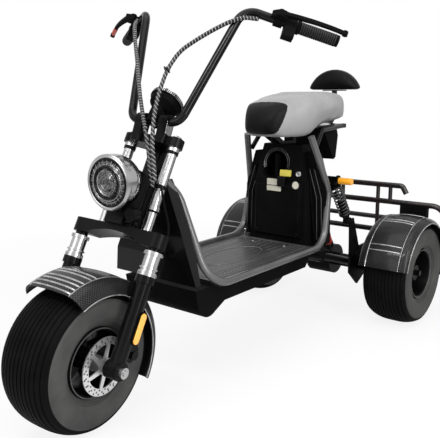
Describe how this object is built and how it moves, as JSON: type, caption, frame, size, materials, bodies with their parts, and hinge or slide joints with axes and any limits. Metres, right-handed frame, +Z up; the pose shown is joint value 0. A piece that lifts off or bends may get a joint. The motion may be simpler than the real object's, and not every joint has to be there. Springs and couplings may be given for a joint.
{
  "type": "motorized trike",
  "caption": "Electric trike with a wide front tyre in a raked fork, tall handlebar, low footboard, cushioned seat with backrest, and two rear wheels under fenders with a tube rack.",
  "frame": {"origin": "on the floor, under the middle of the vehicle", "axes": "+X forward, +Y to the vehicle's left, +Z up"},
  "size_m": [1.8935, 0.978, 1.1611],
  "materials": {
    "tyre_rubber": "satin",
    "black_alloy": "satin",
    "disc_steel": "brushed",
    "chrome": "polished",
    "weave_gloss": "gloss",
    "black_plastic": "satin",
    "amber_lens": "gloss",
    "clear_lens": "gloss",
    "grip_rubber": "matte",
    "grey_mat": "matte",
    "frame_paint": "gloss",
    "seat_vinyl": "satin",
    "pad_vinyl": "satin",
    "spring_steel": "satin",
    "red_lens": "gloss"
  },
  "bodies": {
    "chassis": {"axle_housing": "black_alloy", "backrest_pad": "pad_vinyl", "battery_box": "black_plastic", "battery_cover": "black_plastic", "cargo_rack": "frame_paint", "fender_mounts": "black_plastic", "floor_pan": "black_plastic", "footboard": "grey_mat", "frame_loop_left": "frame_paint", "frame_loop_right": "frame_paint", "head_tube": "black_alloy", "leg_shield": "black_plastic", "motor": "black_alloy", "plate_bracket": "black_plastic", "rear_fender_left": "weave_gloss", "rear_fender_right": "weave_gloss", "seat_cushion": "seat_vinyl", "seat_frame": "frame_paint", "shock_mount": "black_alloy", "shocks": "spring_steel", "side_covers": "black_plastic", "swing_arm": "black_alloy", "tail_lamp": "red_lens", "turn_signals": "amber_lens"},
    "steering": {"fork_legs": "black_alloy", "fork_sleeves": "chrome", "fork_tubes": "black_alloy", "lower_crown": "black_alloy", "upper_clamp": "black_alloy", "front_axle": "disc_steel", "brake_caliper": "black_alloy", "front_fender": "weave_gloss", "fender_stays": "black_plastic", "side_reflectors": "amber_lens", "handlebar": "frame_paint", "grips": "grip_rubber", "switch_pods": "black_plastic", "brake_levers": "black_plastic", "headlight_shell": "chrome", "headlight_lens": "clear_lens", "headlight_bracket": "black_alloy", "horn": "chrome", "speedometer": "black_plastic", "bar_cables": "grip_rubber", "brake_hose": "grip_rubber"},
    "front_wheel": {"front_tyre": "tyre_rubber", "front_rim": "black_alloy", "brake_disc": "disc_steel"},
    "rear_wheel_left": {"rear_tyre_left": "tyre_rubber", "rear_rim_left": "black_alloy"},
    "rear_wheel_right": {"rear_tyre_right": "tyre_rubber", "rear_rim_right": "black_alloy"}
  },
  "joints": [
    {"name": "steering", "type": "hinge", "parent": "chassis", "child": "steering", "pos_m": [0.46721, 0, 0.62363], "axis": [-0.4741, 0, 0.8805], "range_deg": [-41, 29]},
    {"name": "front_wheel_spin", "type": "hinge", "parent": "steering", "child": "front_wheel", "pos_m": [0.74279, 0.0046, 0.20414], "axis": [-0.092, 0.9945, -0.0496], "continuous": true},
    {"name": "rear_left_spin", "type": "hinge", "parent": "chassis", "child": "rear_wheel_left", "pos_m": [-0.601, 0.354, 0.203], "axis": [0, 1, 0], "continuous": true},
    {"name": "rear_right_spin", "type": "hinge", "parent": "chassis", "child": "rear_wheel_right", "pos_m": [-0.601, -0.354, 0.203], "axis": [0, 1, 0], "continuous": true}
  ]
}
